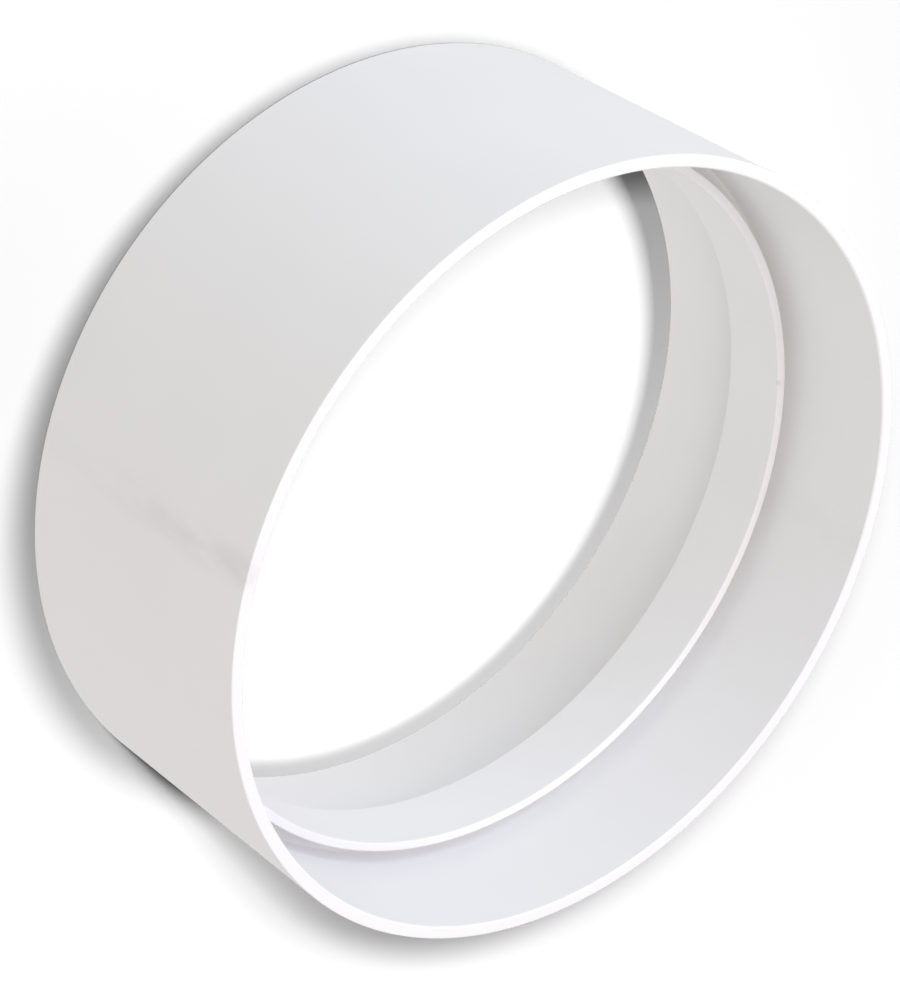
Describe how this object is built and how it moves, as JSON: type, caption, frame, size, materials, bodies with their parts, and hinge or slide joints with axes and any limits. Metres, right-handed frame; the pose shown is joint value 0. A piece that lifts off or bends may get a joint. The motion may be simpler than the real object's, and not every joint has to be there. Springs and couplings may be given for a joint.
{
  "type": "duct connector",
  "caption": "Round push-fit duct connector: a plain white plastic sleeve that goes over the ducts' ends, with a stop web and a short inner lip at mid-length.",
  "frame": {"origin": "centre of the bottom rim, on the surface that the connector stands on", "axes": "+Z along the duct axis, from the bottom rim to the top rim; X and Y are free, because the part is round"},
  "size_m": [0.156, 0.156, 0.062],
  "materials": {
    "white_plastic": "smooth semi-gloss moulded plastic"
  },
  "bodies": {
    "root": {"connector_body": "white_plastic"}
  },
  "joints": []
}
